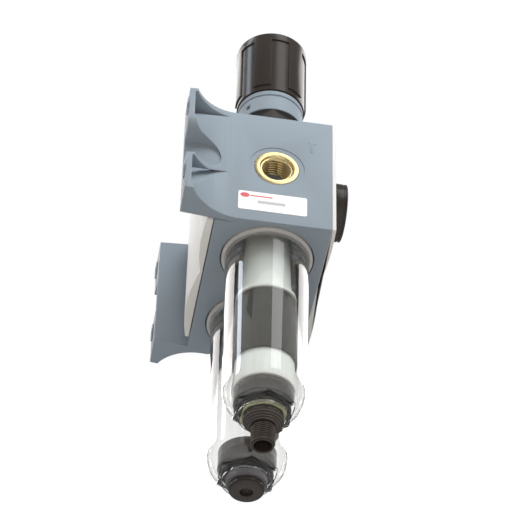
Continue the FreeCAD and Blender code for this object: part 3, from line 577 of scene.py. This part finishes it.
def grip_ring():
    """Stepped grip cone of the drain cock: four rounded ribs under a plain band."""
    neck = 4.55
    low, band_low, band_high = STEM_ROOT, -86.1, -84.7
    ribs = 4
    step = (band_low - low) / ribs
    narrowing = 0.7
    outline = [(neck, band_high), (neck, low)]
    for rib in range(ribs, 0, -1):
        level = band_low - step * rib
        radius = DRAIN_RADIUS - narrowing * rib
        outline += [(radius, level), (radius + 0.5, level + 0.15 * step),
                    (radius + 0.6, level + 0.6 * step), (radius + 0.35, level + 0.75 * step)]
    outline += [(DRAIN_RADIUS - 0.1, band_low), (DRAIN_RADIUS, band_low + 0.1),
                (DRAIN_RADIUS, band_high - 0.15), (DRAIN_RADIUS - 0.15, band_high)]
    mesh = lathe(outline, upright(REGULATOR), 96)
    piece = add_piece(mesh, "drain_ring_ribbed", "drain_ring", ["drain_ring"])

    def crest(reach, height):
        share = (height - low) / step % 1
        return reach > neck + 0.1 and height < band_low and 0.16 < share < 0.6

    # Painted highlight: the rib faces of the grip cone get a lighter brown.
    paint(piece, "crest_painted_highlight", crest)


# ------------------------------------------------------------------ end face
def end_label():
    """Blank label with a plain disc and bars where printing would be."""
    low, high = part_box("blank_label")
    centre = Vector((high.x, (low.y + high.y) / 2, (low.z + high.z) / 2))
    place = facing(centre, (-1, 0, 0))
    width = (high.y - low.y) / MM
    height = (high.z - low.z) / MM
    half_width = width / 2
    half_height = height / 2
    film = 0.12
    ink = film + 0.015
    mesh = slab(rounded_box(-half_width, half_width, -half_height, half_height, 0.8), 0, film, place)
    add_piece(mesh, "blank_label_film", "blank_label", ["blank_label"])
    disc = [(x * 1.5, y) for x, y in arc((0, 2.9), 1.3, 0, 352, 44)]
    disc = [(x - half_width + 2.7, y) for x, y in disc]
    add_piece(slab(disc, film, ink, place), "label_disc", "blank_label", slot="label_red")
    bars = [(4.9, 14.2, 2.5, 3.2, "label_red"), (8.0, 19.5, -1.2, 0.5, "label_grey")]
    for index, (left, right, bottom, top, slot) in enumerate(bars):
        outline = rounded_box(left - half_width, right - half_width, bottom, top, 0.2)
        add_piece(slab(outline, film, ink, place), "label_bar_%d" % index, "blank_label", slot=slot)


def flow_arrow():
    """Raised arrow near the front edge of the inlet end face."""
    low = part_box("end_bracket_inlet")[0]
    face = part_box("inlet_insert")[0].x
    origin = Vector((face, REGULATOR.y - 14.7 * MM, low.z + 47.5 * MM))
    outline = [(-0.55, -4.6), (0.55, -4.6), (0.55, 1.2), (1.9, 0.6), (0.0, 4.7), (-1.9, 0.6),
               (-0.55, 1.2)]
    mesh = slab(outline, -0.05, 0.1, facing(origin, (-1, 0, 0)))
    bmesh.ops.bevel(mesh, geom=[edge for edge in mesh.edges], offset=0.12 * MM, segments=2,
                    profile=0.5, affect="EDGES", clamp_overlap=True)
    add_piece(mesh, "flow_arrow", "end_bracket_inlet")


# ------------------------------------------------------------------ pressure gauge
def gauge():
    """Bezel and printed dial; local +Z is out of the front."""
    low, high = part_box("gauge_bezel")
    centre = Vector(((low.x + high.x) / 2, low.y, (low.z + high.z) / 2))
    place = facing(centre, (0, -1, 0))
    outline = [tuple(point) for point in rounded([
        (11.8, -6.1), (12.3, -6.1, 0.2), (12.3, -1.6, 0.2), (12.05, -1.4), (12.05, -1.0),
        (12.3, -0.8, 0.15), (12.3, 0.0, 0.7), (11.4, 0.0, 0.4), (10.7, -0.6), (11.8, -0.6)])]
    add_piece(lathe(outline, place, 128), "gauge_bezel_turned", "gauge_bezel", ["gauge_bezel"])
    face = -4.1
    ink = face + 0.02
    for index in range(31):
        angle = 225 - 9 * index
        long = index % 5 == 0
        place_mark = place @ Matrix.Rotation(math.radians(angle - 90), 4, "Z")
        width = 0.16 if long else 0.09
        outline = [(-width, 7.4 if long else 8.3), (width, 7.4 if long else 8.3),
                   (width, 9.3), (-width, 9.3)]
        add_piece(slab(outline, face, ink, place_mark), "dial_tick_%02d" % index, "gauge_dial",
                  slot="dial_ink", smooth=False)
    for index in range(7):
        angle = math.radians(225 - 45 * index)
        dial_number(str(index * 2), place, 5.9 * math.cos(angle), 5.9 * math.sin(angle), ink)
    band = [(x, y) for x, y in arc((0, 0), 9.75, 225, -45, 54)]
    band += [(x, y) for x, y in arc((0, 0), 9.6, -45, 225, 54)]
    add_piece(slab(band, face, ink, place), "dial_band", "gauge_dial", slot="dial_ink", smooth=False)


def dial_number(text, place, x, y, level):
    """One number of the scale, as flat printed letters."""
    curve = bpy.data.curves.new("number_" + text, "FONT")
    curve.body = text
    curve.size = 2.5
    curve.align_x = "CENTER"
    curve.align_y = "CENTER"
    curve.extrude = 0.01
    letters = bpy.data.objects.new("number_" + text, curve)
    data = bpy.data.meshes.new_from_object(letters)
    mesh = bmesh.new()
    mesh.from_mesh(data)
    bmesh.ops.transform(mesh, matrix=place @ Matrix.Translation((x, y, level)), verts=mesh.verts)
    bpy.data.objects.remove(letters)
    bpy.data.curves.remove(curve)
    bpy.data.meshes.remove(data)
    add_piece(mesh, "dial_number_" + text, "gauge_dial", slot="dial_ink", smooth=False)


dress_frame()
moulded_pieces()
bonnet_collar()
port_insert("inlet_insert", -1)
port_insert("outlet_insert", 1)
bowl("filter_bowl", REGULATOR, 8.15)
bowl("lubricator_bowl", LUBRICATOR, 6.2)
drain()
grip_ring()
end_label()
flow_arrow()
gauge()


# ------------------------------------------------------------------ camera, light and stage
def add_camera():
    """Camera below the inlet end, looking up; its place was fitted to the outline."""
    azimuth = math.radians(-8.169)
    elevation = math.radians(43.218)
    roll = math.radians(1.512)
    distance = 1.003942
    aim_right = 0.000577
    aim_up = -0.014727
    forward = Vector((math.cos(azimuth) * math.cos(elevation),
                      math.sin(azimuth) * math.cos(elevation), math.sin(elevation)))
    level = Vector((math.sin(azimuth), -math.cos(azimuth), 0))
    rise = level.cross(forward)
    right = level * math.cos(roll) + rise * math.sin(roll)
    up = rise * math.cos(roll) - level * math.sin(roll)
    data = bpy.data.cameras.new("camera")
    data.lens = 167.77
    data.sensor_width = 36.0
    data.clip_start = 0.05
    data.clip_end = 50.0
    camera = bpy.data.objects.new("camera", data)
    turn = Matrix((right, up, -forward)).transposed().to_4x4()
    place = MIDDLE - forward * distance - right * aim_right - up * aim_up
    camera.matrix_world = Matrix.Translation(place) @ turn
    bpy.context.scene.collection.objects.link(camera)
    bpy.context.scene.camera = camera
    return forward


def add_softbox(name, azimuth, elevation, distance, width, height, power, colour,
                diffuse=True, mirrored=True):
    """Rectangular area light that faces the object from a direction in degrees (0 is +X).

    It may light surfaces only (mirrored=False) or show in reflections only (diffuse=False).
    """
    data = bpy.data.lights.new(name, "AREA")
    data.shape = "RECTANGLE"
    data.size = width
    data.size_y = height
    data.energy = power
    data.color = colour
    light = bpy.data.objects.new(name, data)
    light.visible_diffuse = diffuse
    light.visible_glossy = mirrored
    light.visible_transmission = False
    around = math.radians(azimuth)
    above = math.radians(elevation)
    toward = Vector((math.cos(around) * math.cos(above), math.sin(around) * math.cos(above),
                     math.sin(above)))
    light.location = MIDDLE + toward * distance
    light.rotation_mode = "QUATERNION"
    light.rotation_quaternion = toward.to_track_quat("Z", "Y")
    bpy.context.scene.collection.objects.link(light)


def add_world(fill, sheen):
    """White surround: full strength where it is seen, weaker where it lights or is mirrored."""
    world = bpy.data.worlds.new("surround")
    world.use_nodes = True
    tree = world.node_tree
    background = tree.nodes["Background"]
    background.inputs["Color"].default_value = (1, 1, 1, 1)
    ray = tree.nodes.new("ShaderNodeLightPath")
    strength = None
    for test, level in (("Is Diffuse Ray", fill), ("Is Glossy Ray", sheen),
                        ("Is Transmission Ray", 1.0)):
        choice = tree.nodes.new("ShaderNodeMapRange")
        choice.inputs["To Min"].default_value = 1.0
        choice.inputs["To Max"].default_value = level
        if strength:
            tree.links.new(strength, choice.inputs["To Min"])
        tree.links.new(ray.outputs[test], choice.inputs["Value"])
        strength = choice.outputs["Result"]
    tree.links.new(strength, background.inputs["Strength"])
    bpy.context.scene.world = world


def add_floor():
    """Pale floor well below the object, under the camera."""
    grid = bmesh.new()
    bmesh.ops.create_grid(grid, x_segments=1, y_segments=1, size=6.0)
    data = bpy.data.meshes.new("floor")
    grid.to_mesh(data)
    grid.free()
    floor = bpy.data.objects.new("floor", data)
    floor.location = (0, 0, -0.95)
    data.materials.append(plastic("floor", (0.82, 0.82, 0.82), 0.7, 0.02, 0.2, 0.01, 60))
    bpy.context.scene.collection.objects.link(floor)


add_camera()
add_softbox("key", 200, 43, 0.95, 0.8, 0.8, 10.2, (0.97, 0.99, 1.0), mirrored=False)
add_softbox("crest", 202, 43, 1.3, 0.52, 0.9, 3.0, (0.96, 0.98, 1.0), diffuse=False)
add_softbox("strip", 98, 43, 1.3, 0.24, 0.9, 3.9, (0.80, 0.88, 1.0), diffuse=False)
add_softbox("right", 307, 43, 1.3, 1.4, 0.5, 6.6, (1.0, 0.98, 0.97), diffuse=False)
add_softbox("left", 37, 43, 1.3, 1.4, 0.5, 6.6, (1.0, 0.97, 0.96), diffuse=False)
add_softbox("top", 90, 68, 1.3, 1.0, 1.0, 8, (1.0, 0.99, 0.98), mirrored=False)
add_softbox("bounce", 170, -60, 1.2, 1.2, 1.2, 13, (1.0, 0.77, 0.60), mirrored=False)
add_world(0.45, 0.18)
add_floor()
bpy.context.scene.view_settings.view_transform = "Standard"
